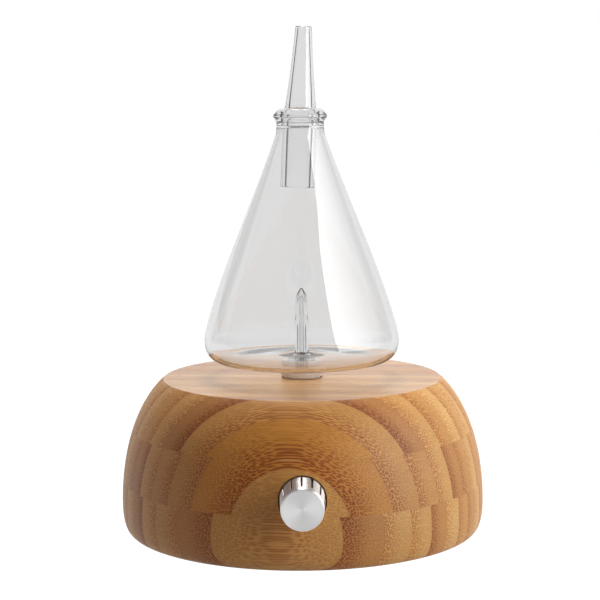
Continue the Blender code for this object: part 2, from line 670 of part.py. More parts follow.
def make_glass_socket():
    """Plastic socket under the top hole, with its air nipple, gasket and light."""
    socket = [
        (7.2, SOCKET_HOLE_TOP - GAP),
        (11.0, SOCKET_HOLE_TOP - GAP),
        (11.0, CAVITY_TOP - GAP),
        (16.0, CAVITY_TOP - GAP),
        (16.0, 41.0),
        (9.5, 40.0),
        (NIPPLE_RADIUS, 40.0),
        (NIPPLE_RADIUS, 33.0),
        (NIPPLE_BORE, 33.0),
        (NIPPLE_BORE, 43.0),
        (7.2, 43.0),
    ]
    part = turned_part("glass_socket", socket, MEDIUM_STEPS, WHITE_PLASTIC, ring=True)
    light_x = -4.6
    hole = rod_mesh("light_hole", 1.8, 38.0, 44.0, [(light_x, 0.0)], TINY_STEPS)
    combine(part, add_cutter("light_hole", hole))
    light = [(0.0, 42.7), (1.1, 42.2), (1.5, 41.2), (1.5, 37.0), (0.0, 37.0)]
    turned_part("led", light, TINY_STEPS, WHITE_PLASTIC, location=(light_x, 0.0, 0.0))
    gasket = [
        (STEM_RADIUS + GAP, FLASK_BOTTOM - 0.5),
        (7.3, FLASK_BOTTOM - 0.5),
        (7.7, FLASK_BOTTOM - 0.9),
        (7.7, BASE_HEIGHT + GAP),
        (6.9, BASE_HEIGHT + GAP),
        (6.9, 43.3),
        (STEM_RADIUS + GAP, 43.3),
    ]
    turned_part("silicone_gasket", gasket, MEDIUM_STEPS + 4, SILICONE, ring=True)


def make_flask():
    """Conical glass flask with a beaded lip and a hollow stem that plugs into the gasket."""
    lip = [
        (NECK_BORE + 0.2, LIP_TOP - 0.3),
        (7.4, LIP_TOP),
        (8.8, LIP_TOP - 0.3),
        (LIP_RADIUS - 0.2, LIP_TOP - 1.8),
        (LIP_RADIUS, LIP_TOP - 3.1),
        (LIP_RADIUS - 0.4, LIP_TOP - 5.0),
    ]
    widest = (FLASK_RADIUS, FLASK_WIDEST)
    cone = bezier((NECK_RADIUS, NECK_HEIGHT), (14.3, 129.1), (FLASK_RADIUS, 81.6), widest, 8)
    heel = bezier(widest, (FLASK_RADIUS, 64.6), (33.2, FLASK_BOTTOM), (28.0, FLASK_BOTTOM), 3)
    floor_top = FLASK_BOTTOM + FLASK_WALL
    jet_hole = 1.4
    stem = [
        (STEM_RADIUS, FLASK_BOTTOM),
        (STEM_RADIUS, STEM_END),
        (STEM_BORE, STEM_END),
        (STEM_BORE, FLASK_BOTTOM - 1.7),
        (jet_hole, FLASK_BOTTOM - 1.7),
        (jet_hole, floor_top),
    ]
    inner = FLASK_RADIUS - FLASK_WALL
    inner_widest = (inner, FLASK_WIDEST + 0.3)
    inner_heel = bezier((27.6, floor_top), (32.0, floor_top), (inner, 65.8), inner_widest, 3)
    inner_cone = bezier(inner_widest, (inner, 81.6), (12.3, 129.1), (NECK_BORE, NECK_HEIGHT), 7)
    outline = [*lip, *cone, *heel[1:], *stem, *inner_heel, *inner_cone[1:]]
    turned_part("glass_flask", outline, GLASS_STEPS, GLASS, ring=True)


def make_nozzle():
    """Glass jet and its sleeve, standing on the flask's floor."""
    jet = [(0.25, 86.0), (0.55, 86.0), (1.1, 83.4), (1.1, 58.5), (0.55, 58.5), (0.55, 83.0)]
    turned_part("air_jet", jet, TINY_STEPS, GLASS, ring=True)
    foot = FLASK_BOTTOM + FLASK_WALL + GAP
    sleeve = [
        (0.2, NOZZLE_TIP),
        (0.45, NOZZLE_TIP),
        (1.3, 87.0),
        (1.85, 84.6),
        (1.95, 79.5),
        (2.4, 76.5),
        (2.5, foot),
        (1.4, foot),
        (1.4, 84.0),
        (0.8, 86.9),
    ]
    turned_part("nozzle_sleeve", sleeve, SMALL_STEPS, GLASS, ring=True)


def make_mist_tube():
    """Glass outlet tube, ground to fit the flask's mouth and open at both ends."""
    stack = bezier((3.1, TUBE_TOP), (3.6, 176.0), (4.5, 165.0), (5.75, 155.5), 6)
    bore = bezier((TUBE_BORE, 150.0), (3.9, 160.0), (2.6, 174.0), (1.9, TUBE_TOP), 5)
    outline = [
        *stack,
        (6.2, 151.5),
        (TUBE_RADIUS, 148.0),
        (TUBE_RADIUS, TUBE_END),
        (TUBE_BORE, TUBE_END),
        *bore,
    ]
    from_seat = [(radius, height - TUBE_SEAT) for radius, height in outline]
    seat = (0.0, 0.0, TUBE_SEAT)
    turned_part("mist_tube", from_seat, 20, GLASS, True, seat, (0, TUBE_LEAN, 0))


def make_wires():
    """Insulated leads from the jack and the motor to the control board."""
    power_stops = [
        (5.0, 42.5, 13.0),
        (19.0, 37.5, 9.5),
        (32.0, 27.5, 9.0),
        (39.5, 12.0, 9.0),
        (40.0, -6.0, 10.0),
        (34.0, -20.0, 15.0),
        (24.0, -29.0, 21.0),
    ]
    black_offset = Vector((0.0, 0.0, 1.8))
    red = [(0.0, 45.9, 16.0), *power_stops, (14.0, -32.5, 21.5), (12.5, -32.5, 15.0)]
    black = [(2.7, 47.4, 16.0), *[Vector(stop) + black_offset for stop in power_stops]]
    black += [(14.0, -32.5, 23.8), (9.5, -32.5, 20.0), (9.5, -32.5, 15.0)]
    motor_stops = [(-34.0, 12.0, 18.0), (-36.0, 2.0, 15.0), (-32.0, -12.0, 13.5), (-24.0, -20.0, 13.5)]
    motor_red = [(-30.9, 15.0, 20.0), *motor_stops, (-15.0, -23.0, 11.6)]
    raised = [Vector(stop) + black_offset for stop in motor_stops]
    motor_black = [(-30.9, 15.0, 23.0), *raised, (-15.0, -20.0, 11.6)]
    routes = {
        "power_wire_red": (red, RED),
        "power_wire_black": (black, BLACK_PLASTIC),
        "motor_wire_red": (motor_red, RED),
        "motor_wire_black": (motor_black, BLACK_PLASTIC),
    }
    for name, (stops, material) in routes.items():
        wire = add_part(name, tube_mesh(name, smooth_route(stops, 2), WIRE_RADIUS), material)
        wire.data.shade_smooth()


make_housing()
make_bottom_cover()
make_feet()
make_cover_screws()
make_knob()
make_potentiometer()
make_power_jack()
make_control_board()
make_motor()
make_pump()
make_pump_mount()
make_intake_filter()
make_air_hose()
make_glass_socket()
make_flask()
make_nozzle()
make_mist_tube()
make_wires()
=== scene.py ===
"""Looks of a waterless oil diffuser: turned bamboo base, spun metal knob, glass flask and mist tube."""

import json
import math

import bmesh
import bpy
from mathutils import Matrix, Vector


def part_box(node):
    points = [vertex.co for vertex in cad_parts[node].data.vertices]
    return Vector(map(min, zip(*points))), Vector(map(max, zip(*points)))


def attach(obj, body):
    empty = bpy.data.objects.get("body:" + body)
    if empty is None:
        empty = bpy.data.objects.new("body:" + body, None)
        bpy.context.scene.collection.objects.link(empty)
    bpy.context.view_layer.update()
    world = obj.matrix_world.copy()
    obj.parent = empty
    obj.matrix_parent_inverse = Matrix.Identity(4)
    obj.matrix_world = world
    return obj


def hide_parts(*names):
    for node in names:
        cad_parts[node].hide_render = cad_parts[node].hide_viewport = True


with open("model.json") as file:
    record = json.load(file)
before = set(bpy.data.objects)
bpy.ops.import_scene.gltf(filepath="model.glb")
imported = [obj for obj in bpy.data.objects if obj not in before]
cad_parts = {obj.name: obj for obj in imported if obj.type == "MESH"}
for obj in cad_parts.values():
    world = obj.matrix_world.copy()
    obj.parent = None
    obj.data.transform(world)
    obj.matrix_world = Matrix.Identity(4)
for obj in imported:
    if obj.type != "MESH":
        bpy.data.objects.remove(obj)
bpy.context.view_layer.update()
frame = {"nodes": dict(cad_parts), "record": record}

MM = 0.001
FULL_TURN = 2 * math.pi
QUARTER_TURN = math.pi / 2

# Places and driving sizes come from the frame. Sizes are in millimetres: radii from a piece's own axis, and
# heights from the foot of the base, or from the foot of the knob for its own parts.
HOUSING_LOW, HOUSING_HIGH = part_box("bamboo_housing")
KNOB_LOW, KNOB_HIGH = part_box("control_knob")
FLASK_LOW, FLASK_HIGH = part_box("glass_flask")
JACK_LOW, JACK_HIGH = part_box("dc_jack")
AXIS = Vector((0.0, (HOUSING_LOW.y + HOUSING_HIGH.y) / 2, HOUSING_LOW.z))
BASE_RADIUS = (HOUSING_HIGH.x - HOUSING_LOW.x) / 2 / MM
BASE_WIDEST = 10.0  # height of the widest part
BASE_HEIGHT = (HOUSING_HIGH.z - HOUSING_LOW.z) / MM
BASE_TOP_RADIUS = 51.8
CAVITY_RADIUS = 46.0
CAVITY_TOP = 44.0
COVER_RECESS_RADIUS = 54.0
COVER_RECESS_DEPTH = 4.0
GLASS_HOLE_RADIUS = 7.4
SOCKET_HOLE_RADIUS = 11.3
SOCKET_HOLE_TOP = 49.0

KNOB_CENTRE = Vector((0.0, KNOB_HIGH.y, (KNOB_LOW.z + KNOB_HIGH.z) / 2))
KNOB_REACH = (KNOB_HIGH.y - KNOB_LOW.y) / MM
KNOB_RIM_RADIUS = (KNOB_HIGH.x - KNOB_LOW.x) / 2 / MM
KNOB_FACE_RADIUS = 6.8
KNOB_EDGE_RADIUS = 7.3
KNOB_RIM_HEIGHT = 3.0
KNOB_BORE_RADIUS = 3.2
KNOB_BORE_DEPTH = 13.7
KNOB_HOLLOW_RADIUS = 6.4
KNOB_HOLLOW_DEPTH = 5.0
POINTER_DROP = 5.4
POINTER_SIZE = (0.8 * MM, 3.4 * MM, 0.5 * MM)
KNOB_FLUTES = 13
FLUTE_TURN = math.radians(2.0)
FLUTE_HALF_WIDTH = 0.048  # radians round the knob
FLUTE_LOW = 1.5
FLUTE_HIGH = 15.2
FLUTE_DEPTH = 0.42
KNOB_POCKET_RADIUS = 8.3
KNOB_POCKET_MOUTH = 9.4
KNOB_POCKET_FLOOR = 60.5  # distance of the pocket's floor in front of the axis
BUSHING_HOLE_RADIUS = 3.8
POT_RECESS_RADIUS = 11.0
POT_WALL = 4.5  # wood left between the pocket and the recess behind it
KNOB_WAY_DEPTH = 22.5

JACK_CENTRE = Vector((0.0, JACK_HIGH.y, (JACK_LOW.z + JACK_HIGH.z) / 2))
JACK_SEAT = 63.0  # distance of the seat behind the axis
JACK_SEAT_RADIUS = 7.7
JACK_HOLE_RADIUS = 4.3
JACK_RECESS_RADIUS = 10.0
JACK_WALL = 8.0  # wood left between the seat and the recess behind it
JACK_WAY_DEPTH = 22.0

FLASK_RADIUS = (FLASK_HIGH.x - FLASK_LOW.x) / 2 / MM
FLASK_WIDEST = 69.3  # height where the cone meets the heel
FLASK_BOTTOM = 61.7
FLASK_FLOOR = 62.9
FLASK_WALL = 1.1
LIP_TOP = (FLASK_HIGH.z - AXIS.z) / MM
NECK_BORE = 6.6
STEM_RADIUS = 5.0
STEM_BORE = 3.4
STEM_END = (FLASK_LOW.z - AXIS.z) / MM
JET_RADIUS = 1.1
JET_BORE = 0.55
JET_END = 58.5
JET_TIP = 86.0
SLEEVE_RADIUS = 2.6
SLEEVE_BORE = 1.4
SLEEVE_FOOT = 63.55
TUBE_TOP = 185.0
TUBE_END = 126.3
TUBE_RADIUS = 6.3
TUBE_BORE = 4.2
TUBE_SEAT = 152.0
TUBE_LEAN = math.radians(2.6)
GASKET_LOW = 43.3
GASKET_LEDGE = 56.1
GASKET_BORE = 5.3
GASKET_RADIUS = 6.9
GASKET_RIM_RADIUS = 7.7

# The bamboo block: three layers of glued strips, front to back, from the bottom layer up.
STRIP_THICKNESS = 6.6 * MM
STRIP_COUNT = 22
LAYER_HEIGHT = 18.65 * MM
LAYER_SKEW = (math.radians(8.1), math.radians(3.8), math.radians(4.3))
LAYER_FIRST_JOINT = (-63.5 * MM, -64.0 * MM, -63.0 * MM)
# Each tone is a screen colour and how bold the fibre dots are on it.
STRIP_TONES = {
    "pale": ((213, 166, 100), 0.50),
    "light": ((209, 159, 91), 0.68),
    "golden": ((203, 149, 79), 0.65),
    "tan": ((201, 147, 79), 0.72),
    "orange": ((204, 142, 60), 0.90),
    "brown": ((194, 137, 71), 0.95),
    "dark": ((188, 131, 69), 1.00),
}
LAYER_STRIPS = (
    ("golden", "brown", "light", "light", "brown", "pale", "golden", "tan", "pale", "tan", "light"),
    ("golden", "orange", "tan", "tan", "light", "brown", "tan", "pale", "golden", "light", "tan"),
    ("tan", "orange", "golden", "dark", "light", "golden", "pale", "light", "pale", "golden", "pale"),
)
BUNDLES_PER_METRE = 1100.0
BUNDLE_WIDENING = 3.2
CLOUD_TINT = (0.72, 0.62, 0.5)
STREAK_TINT = (0.62, 0.52, 0.4)
CROWD_TINT = (0.76, 0.6, 0.4)
DOT_TINT = (0.5, 0.2, 0.04)
PITH_TINT = (1.5, 1.6, 1.8)
GLUE_TINT = (0.55, 0.45, 0.36)
# Painted sheen: the flat top's colour is blended towards this paler tone in place of the backdrop's
# reflection.
TOP_SHEEN_TONE = (222, 190, 158)

# The studio, in metres round the object.
ROOM_FRONT_LIGHT = 0.12
ROOM_SIDE_LIGHT = 0.28
SWEEP_FRONT = 6.0
SWEEP_BEND = 0.5
SWEEP_RADIUS = 0.6
SWEEP_HEIGHT = 2.0
SWEEP_HALF_WIDTH = 6.0
SWEEP_STEPS = 32
FLAG_OUTER = -2.2
FLAG_INNER = -0.34
TENT_RADIUS = 0.9
TENT_WHITE = math.radians(42.0)
TENT_STEPS = 96
TENT_GLOW = 0.78
TENT_DARK = TENT_WHITE + math.radians(8.0)
TENT_FRONT = (math.radians(62.0), math.radians(80.0))
TENT_FRONT_GLOW = 0.65
LIGHTS_AIM = (0.0, 0.0, 0.09)
# Each light has a place, a size, watts, and a fade from its left side to its right.
SOFTBOXES = {
    "overhead": ((0.0, 0.3, 0.95), (0.4, 0.4), 6.2, None),
    "warm_fill": ((-0.7, -0.7, 0.35), (0.5, 0.5), 1.15, None),
    "right_key": ((0.74, -0.13, 0.30), (1.25, 0.9), 10.0, (1.7, 0.0)),
    "glass_strip": ((0.70, -0.123, 0.29), (1.18, 0.85), 7.0, (1.9, 0.0)),
}
CAMERA_PLACE = Vector((0.85 * MM, -0.6002, 0.1564))
CAMERA_SENSOR = 36.0
CAMERA_LENS = 97.5
CAMERA_PAN = math.radians(0.13)
CAMERA_PITCH = math.radians(90.0 - 6.83)
CAMERA_ROLL = math.radians(-0.4)

TURN_STEPS = 192
ARC_STEPS = 5


def node_adder(tree):
    """Return a function that adds nodes to a tree."""

    def add(kind, settings=None, inputs=None):
        """Add a node, set it up, and link or set its inputs."""
        node = tree.nodes.new(kind)
        for key, value in (settings or {}).items():
            setattr(node, key, value)
        for key, value in (inputs or {}).items():
            if isinstance(value, bpy.types.NodeSocket):
                tree.links.new(value, node.inputs[key])
            else:
                node.inputs[key].default_value = value
        return node

    return add


def material(name):
    """Start a material: its node tree, its shader and a function that adds nodes."""
    new = bpy.data.materials.new(name)
    new.use_nodes = True
    tree = new.node_tree
    return new, tree, tree.nodes["Principled BSDF"], node_adder(tree)


def maths(add, operation, first, second=0.0, third=0.0):
    """Return the result of one Math node."""
    node = add("ShaderNodeMath", {"operation": operation}, {0: first, 1: second, 2: third})
    return node.outputs[0]


def vectors(add, operation, first, second):
    """Return the result of one Vector Math node."""
    return add("ShaderNodeVectorMath", {"operation": operation}, {0: first, 1: second}).outputs[0]


def scaled(add, vector, factor):
    """Return a vector times a factor."""
    return add("ShaderNodeVectorMath", {"operation": "SCALE"}, {0: vector, "Scale": factor}).outputs[0]


def split(add, vector):
    """Return the three parts of a vector."""
    return add("ShaderNodeSeparateXYZ", None, {0: vector}).outputs


def spread(add, value, low, high, to_low=0.0, to_high=1.0, curve="SMOOTHSTEP"):
    """Map the range from low to high onto another range."""
    ends = {"From Min": low, "From Max": high, "To Min": to_low, "To Max": to_high}
    return add("ShaderNodeMapRange", {"interpolation_type": curve}, {"Value": value, **ends}).outputs[0]


def noise(add, vector, scale, detail):
    """Return soft noise. Its scale is one number, or three to stretch it along the axes."""
    if isinstance(scale, tuple):
        vector = add("ShaderNodeMapping", None, {"Vector": vector, "Scale": scale}).outputs[0]
        scale = 1.0
    settings = {"Vector": vector, "Scale": scale, "Detail": detail}
    return add("ShaderNodeTexNoise", None, settings).outputs["Fac"]


def object_place(add):
    """Return the place of each point on the object."""
    return add("ShaderNodeTexCoord").outputs["Object"]


def blend_colour(add, factor, first, second, mode="MIX"):
    """Return a mix of two colours."""
    settings = {"data_type": "RGBA", "blend_type": mode}
    return add("ShaderNodeMix", settings, {"Factor": factor, 6: first, 7: second}).outputs[2]


def tint(add, share, base, multiplier):
    """Return a colour multiplied by another, by a share of its full effect."""
    return blend_colour(add, share, base, opaque(multiplier), "MULTIPLY")


def ramp(add, value, stops):
    """Return a colour ramp's output. Stops are (position, colour)."""
    node = add("ShaderNodeValToRGB", None, {"Fac": value})
    elements = node.color_ramp.elements
    while len(elements) < len(stops):
        elements.new(0.5)
    for element, (position, tone) in zip(elements, stops):
        element.position = position
        element.color = opaque(tone)
    return node.outputs["Color"]


def emboss(tree, shader, add, height, strength, depth):
    """Give a shader relief from a height, at most so many millimetres deep."""
    bump = add("ShaderNodeBump", None, {"Strength": strength, "Distance": depth * MM, "Height": height})
    tree.links.new(bump.outputs[0], shader.inputs["Normal"])


def colour(red, green, blue):
    """Return a linear colour from screen values of 0 to 255."""
    linear = []
    for value in (red, green, blue):
        share = value / 255
        linear.append(share / 12.92 if share <= 0.04045 else ((share + 0.055) / 1.055) ** 2.4)
    return tuple(linear)


def opaque(rgb):
    """Return a colour with full alpha."""
    return (*rgb, 1.0)


def pick_by_layer(add, above_first, above_second, values):
    """Return the value that belongs to the bottom, middle or top layer of the block."""
    bottom, middle, top = values
    rise = maths(add, "MULTIPLY_ADD", above_first, middle - bottom, bottom)
    return maths(add, "MULTIPLY_ADD", above_second, top - middle, rise)


def strip_tones(add, strip_share, names):
    """Return a ramp node whose colour is the tone of each strip, and whose alpha is how bold its dots are."""
    node = add("ShaderNodeValToRGB", None, {"Fac": strip_share})
    node.color_ramp.interpolation = "CONSTANT"
    elements = node.color_ramp.elements
    for index in range(STRIP_COUNT):
        element = elements[index] if index < 2 else elements.new(index / STRIP_COUNT)
        element.position = index / STRIP_COUNT
        tone, boldness = STRIP_TONES[names[index % len(names)]]
        element.color = (*colour(*tone), boldness)
    return node


def bamboo_strips(add, from_axis, height):
    """Divide the block into layers and strips.

    Returns each point's place, moved by chance from strip to strip, how far it lies across its strip and
    up its layer, and its strip's tone and boldness.
    """
    above_first = maths(add, "GREATER_THAN", height, LAYER_HEIGHT)
    above_second = maths(add, "GREATER_THAN", height, 2 * LAYER_HEIGHT)
    layer = maths(add, "ADD", above_first, above_second)

    # Each layer lies a little askew, and its strips are offset from the next layer's.
    skew = pick_by_layer(add, above_first, above_second, LAYER_SKEW)
    turn = {"Vector": from_axis, "Angle": skew}
    block = add("ShaderNodeVectorRotate", {"rotation_type": "Z_AXIS"}, turn).outputs[0]
    first_joint = pick_by_layer(add, above_first, above_second, LAYER_FIRST_JOINT)
    from_joint = maths(add, "SUBTRACT", split(add, block)[1], first_joint)
    strip_place = maths(add, "ADD", maths(add, "DIVIDE", from_joint, STRIP_THICKNESS), 1.0)
    strip = maths(add, "FLOOR", strip_place)
    in_strip = maths(add, "FRACT", strip_place)
    in_layer = maths(add, "FRACT", maths(add, "DIVIDE", height, LAYER_HEIGHT))

    strip_share = maths(add, "DIVIDE", maths(add, "ADD", strip, 0.5), STRIP_COUNT)
    bottom, middle, top = [strip_tones(add, strip_share, names) for names in LAYER_STRIPS]
    lower = blend_colour(add, above_first, bottom.outputs["Color"], middle.outputs["Color"])
    ground = blend_colour(add, above_second, lower, top.outputs["Color"])
    only_bottom = maths(add, "SUBTRACT", 1.0, above_first)
    only_middle = maths(add, "SUBTRACT", above_first, above_second)
    bold = maths(add, "MULTIPLY", only_bottom, bottom.outputs["Alpha"])
    bold = maths(add, "MULTIPLY_ADD", only_middle, middle.outputs["Alpha"], bold)
    bold = maths(add, "MULTIPLY_ADD", above_second, top.outputs["Alpha"], bold)

    strip_id = add("ShaderNodeCombineXYZ", None, {0: strip, 1: layer, 2: 4.0}).outputs[0]
    chance = add("ShaderNodeTexWhiteNoise", {"noise_dimensions": "3D"}, {"Vector": strip_id})
    moved = vectors(add, "ADD", block, scaled(add, chance.outputs["Color"], 0.37))
    return moved, in_strip, in_layer, ground, bold


def bent_fibres(add, moved):
    """Let the fibres wander a little along their length."""
    wander = add("ShaderNodeTexNoise", None, {"Vector": moved, "Scale": 35.0, "Detail": 1.0})
    return vectors(add, "ADD", moved, scaled(add, wander.outputs["Color"], 1.6 * MM))


def fibre_bundles(add, moved, bent, in_strip):
    """Lay fibre bundles through the strips.

    They are long rods, so a cut across them shows dots and a cut along them shows streaks. Returns each
    point's distance from the nearest rod's middle, how crowded the rods are, and how far inside one it is.
    """
    _, across, up = split(add, bent)
    section = {0: maths(add, "MULTIPLY", across, BUNDLE_WIDENING), 1: up}
    section = add("ShaderNodeCombineXYZ", None, section).outputs[0]
    distance = add(
        "ShaderNodeTexVoronoi",
        {"voronoi_dimensions": "2D", "feature": "F1"},
        {"Vector": section, "Scale": BUNDLES_PER_METRE, "Randomness": 0.8},
    ).outputs["Distance"]

    # They crowd together towards one side of each strip, which was nearer the bark.
    crowding = spread(add, in_strip, 0.75, 0.0)
    patches = noise(add, moved, (16.0, 40.0, 40.0), 1.0)
    crowding = maths(add, "MULTIPLY_ADD", maths(add, "SUBTRACT", patches, 0.5), 0.6, crowding)
    crowding = add("ShaderNodeClamp", None, {0: crowding}).outputs[0]
    radius = maths(add, "MULTIPLY_ADD", crowding, 0.17, 0.21)
    bundle = spread(add, maths(add, "SUBTRACT", radius, distance), -0.12, 0.12)
    return distance, crowding, bundle


def fibre_dots(add, base, bold, distance, crowding, bundle):
    """Darken a colour in the bundles and lighten it in the pith between them."""
    crowd_share = maths(add, "MULTIPLY", crowding, maths(add, "MULTIPLY", bold, 0.8))
    toned = tint(add, crowd_share, base, CROWD_TINT)
    dot_share = maths(add, "MULTIPLY", bold, maths(add, "MULTIPLY_ADD", crowding, 0.5, 0.45))
    dotted = tint(add, maths(add, "MULTIPLY", bundle, dot_share), toned, DOT_TINT)
    pith = spread(add, distance, 0.38, 0.58)
    pith = maths(add, "MULTIPLY", pith, maths(add, "MULTIPLY_ADD", crowding, 0.6, 0.4))
    pith = maths(add, "MULTIPLY", pith, maths(add, "MULTIPLY_ADD", bold, -1.4, 1.6))
    return tint(add, pith, dotted, PITH_TINT)


def glue_lines(add, in_strip, in_layer):
    """Return how strongly the thin glue lines between strips and layers show."""
    strip_edge = maths(add, "MINIMUM", in_strip, maths(add, "SUBTRACT", 1.0, in_strip))
    strip_line = spread(add, strip_edge, 0.03, 0.01, curve="LINEAR")
    layer_edge = maths(add, "MINIMUM", in_layer, maths(add, "SUBTRACT", 1.0, in_layer))
    layer_line = spread(add, layer_edge, 0.008, 0.002, curve="LINEAR")
    return maths(add, "MULTIPLY", maths(add, "MAXIMUM", strip_line, layer_line), 0.15)


def bamboo_material():
    """Laminated bamboo: three glued layers of upright strips, with the fibres running left to right."""
    new, tree, shader, add = material("laminated_bamboo")
    from_axis = vectors(add, "SUBTRACT", object_place(add), AXIS)
    height = split(add, from_axis)[2]
    moved, in_strip, in_layer, ground, bold = bamboo_strips(add, from_axis, height)
    bent = bent_fibres(add, moved)
    distance, crowding, bundle = fibre_bundles(add, moved, bent, in_strip)
    streaks = noise(add, bent, (22.0, 2400.0, 2400.0), 3.0)
    clouds = noise(add, moved, (12.0, 90.0, 90.0), 2.0)
    glue = glue_lines(add, in_strip, in_layer)

    cloud_share = maths(add, "MULTIPLY", maths(add, "SUBTRACT", clouds, 0.3), 0.8)
    tone = tint(add, cloud_share, ground, CLOUD_TINT)
    tone = tint(add, maths(add, "MULTIPLY", streaks, 0.7), tone, STREAK_TINT)
    tone = fibre_dots(add, tone, bold, distance, crowding, bundle)
    tone = tint(add, glue, tone, GLUE_TINT)

    # The flat top is lacquered smoother than the turned side, and painted paler: a painted sheen standing in
    # for the white backdrop it reflects at a grazing view.
    flat_top = maths(add, "GREATER_THAN", height, (BASE_HEIGHT - 0.2) * MM)
    painted_sheen_share = maths(add, "MULTIPLY", flat_top, 0.22)
    tone = blend_colour(add, painted_sheen_share, tone, opaque(colour(*TOP_SHEEN_TONE)))
    tree.links.new(tone, shader.inputs["Base Color"])
    shader.inputs["Specular IOR Level"].default_value = 0.4
    rough = maths(add, "MULTIPLY_ADD", flat_top, -0.24, 0.44)
    rough = maths(add, "MULTIPLY_ADD", bundle, 0.1, rough)
    tree.links.new(maths(add, "MULTIPLY_ADD", streaks, 0.08, rough), shader.inputs["Roughness"])
    relief = maths(add, "SUBTRACT", maths(add, "MULTIPLY", streaks, 0.5), maths(add, "MULTIPLY", bundle, 0.6))
    emboss(tree, shader, add, maths(add, "SUBTRACT", relief, glue), strength=0.3, depth=0.06)
    return new


def glass_material():
    """Clear glass that lets lamp light through, with faint ripples from blowing."""
    new, tree, shader, add = material("clear_glass")
    shader.inputs["Base Color"].default_value = (0.98, 0.98, 0.98, 1.0)
    shader.inputs["Roughness"].default_value = 0.0
    shader.inputs["IOR"].default_value = 1.47
    shader.inputs["Transmission Weight"].default_value = 1.0
    ripple = noise(add, object_place(add), (60.0, 60.0, 25.0), 1.0)
    emboss(tree, shader, add, ripple, strength=0.05, depth=0.3)
    edge = add("ShaderNodeLayerWeight", None, {"Blend": 0.5}).outputs["Facing"]
    shade = ramp(add, edge, [(0.0, (0.95, 0.95, 0.95)), (0.6, (0.9, 0.9, 0.9)), (1.0, (0.1, 0.1, 0.1))])
    clear = add("ShaderNodeBsdfTransparent", None, {"Color": shade})
    in_shadow = add("ShaderNodeLightPath").outputs["Is Shadow Ray"]
    mix = add("ShaderNodeMixShader", None, {0: in_shadow, 1: shader.outputs[0], 2: clear.outputs[0]})
    tree.links.new(mix.outputs[0], tree.nodes["Material Output"].inputs["Surface"])
    return new


def aluminium_material(name, roughness, anisotropy, dark, light):
    """Turned aluminium with circular tool marks round the knob's axis."""
    new, tree, shader, add = material(name)
    shader.inputs["Metallic"].default_value = 1.0
    shader.inputs["Anisotropic"].default_value = anisotropy
    shader.inputs["Anisotropic Rotation"].default_value = 0.25
    from_axis = vectors(add, "SUBTRACT", object_place(add), KNOB_CENTRE)
    flat = vectors(add, "MULTIPLY", from_axis, (1.0, 0.0, 1.0))
    radius = add("ShaderNodeVectorMath", {"operation": "LENGTH"}, {0: flat}).outputs["Value"]
    marks = {"W": radius, "Scale": 9000.0, "Detail": 3.0}
    rings = add("ShaderNodeTexNoise", {"noise_dimensions": "1D"}, marks).outputs["Fac"]
    tree.links.new(ramp(add, rings, [(0.3, dark), (0.7, light)]), shader.inputs["Base Color"])
    tree.links.new(maths(add, "MULTIPLY_ADD", rings, 0.1, roughness), shader.inputs["Roughness"])
    emboss(tree, shader, add, rings, strength=0.12, depth=0.02)
    tangent = add("ShaderNodeTangent", {"direction_type": "RADIAL", "axis": "Y"})
    tree.links.new(tangent.outputs[0], shader.inputs["Tangent"])
    return new


def silicone_material():
    """Milky translucent silicone with a soft sheen."""
    new, tree, shader, add = material("milky_silicone")
    cloud = noise(add, object_place(add), 300.0, 2.0)
    tone = ramp(add, cloud, [(0.3, colour(236, 224, 212)), (0.7, colour(246, 237, 228))])
    tree.links.new(tone, shader.inputs["Base Color"])
    shader.inputs["Roughness"].default_value = 0.32
    shader.inputs["IOR"].default_value = 1.41
    shader.inputs["Transmission Weight"].default_value = 0.15
    emboss(tree, shader, add, cloud, strength=0.1, depth=0.05)
    return new


def moulded_material(name, dark, light, roughness, grain=1800.0, metallic=0.0, depth=0.03):
    """A plain material with a fine grain: moulded plastic, rubber, foam or plated metal."""
    new, tree, shader, add = material(name)
    place = object_place(add)
    speckle = noise(add, place, grain, 3.0)
    wear = noise(add, place, 90.0, 3.0)
    share = maths(add, "MULTIPLY_ADD", speckle, 0.5, maths(add, "MULTIPLY", wear, 0.5))
    tree.links.new(ramp(add, share, [(0.35, dark), (0.65, light)]), shader.inputs["Base Color"])
    tree.links.new(maths(add, "MULTIPLY_ADD", wear, 0.15, roughness), shader.inputs["Roughness"])
    shader.inputs["Metallic"].default_value = metallic
    emboss(tree, shader, add, speckle, strength=0.3, depth=depth)
    return new


def bezier(start, pull_out, pull_in, end, pieces):
    """Return the points along one cubic curve, both ends included."""
    points = []
    for index in range(pieces + 1):
        t = index / pieces
        weights = ((1 - t) ** 3, 3 * t * (1 - t) ** 2, 3 * t * t * (1 - t), t**3)
        corners = (start, pull_out, pull_in, end)
        radius = sum(w * corner[0] for w, corner in zip(weights, corners))
        height = sum(w * corner[1] for w, corner in zip(weights, corners))
        points.append((radius, height))
    return points


def rounded(outline, closed):
    """Round the corners of an outline. A corner is (radius, height, fillet); other points have no fillet."""
    result = []
    count = len(outline)
    for index, point in enumerate(outline):
        inner_point = closed or 0 < index < count - 1
        if len(point) < 3 or not inner_point:
            result.append(tuple(point[:2]))
            continue
        corner = Vector(point[:2])
        to_last = Vector(outline[index - 1][:2]) - corner
        to_next = Vector(outline[(index + 1) % count][:2]) - corner
        reach = min(point[2], 0.45 * to_last.length, 0.45 * to_next.length)
        start = corner + to_last.normalized() * reach
        end = corner + to_next.normalized() * reach
        for step in range(ARC_STEPS + 1):
            t = step / ARC_STEPS
            spot = (1 - t) ** 2 * start + 2 * t * (1 - t) * corner + t * t * end
            result.append((spot.x, spot.y))
    return result


